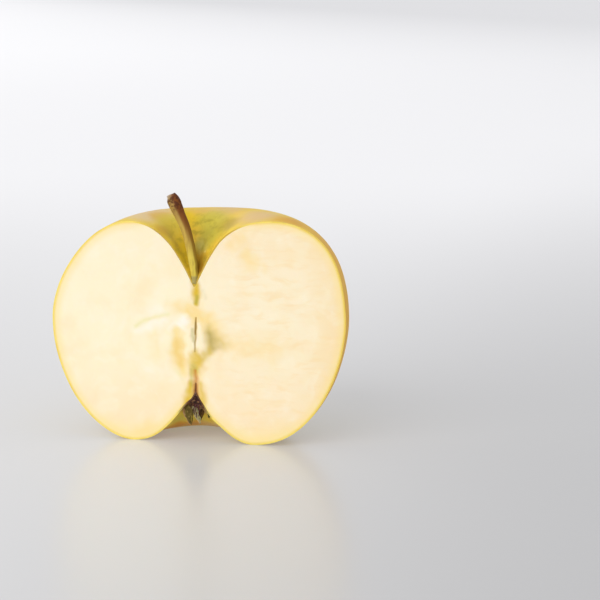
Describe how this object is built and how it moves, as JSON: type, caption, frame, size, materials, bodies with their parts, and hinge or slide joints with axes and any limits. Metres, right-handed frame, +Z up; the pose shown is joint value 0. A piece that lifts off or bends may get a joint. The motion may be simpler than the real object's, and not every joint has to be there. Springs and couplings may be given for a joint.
{
  "type": "apple half",
  "caption": "Half of a yellow apple cut upright through stem, core and calyx, standing on its calyx end with the flat cut face forward.",
  "frame": {"origin": "bottom centre of the half's bounding box, on the floor it stands on", "axes": "+Z up along the apple's core, from calyx to stem; the flat cut face looks along -Y and the rounded back along +Y; +X to the right as seen from the cut face"},
  "size_m": [0.0801, 0.0404, 0.0676],
  "materials": {
    "apple_flesh_and_skin": "moist cream-coloured cut flesh in front, satin yellow skin behind",
    "stem": "dry woody stalk, brown above and yellow-green below",
    "dried_calyx": "dry, papery, dark brown"
  },
  "bodies": {
    "root": {"apple_half": "apple_flesh_and_skin", "stem": "stem", "sepal_1": "dried_calyx", "sepal_2": "dried_calyx", "sepal_3": "dried_calyx", "sepal_4": "dried_calyx", "stamen_1": "dried_calyx", "stamen_2": "dried_calyx", "stamen_3": "dried_calyx", "stamen_4": "dried_calyx"}
  },
  "joints": []
}
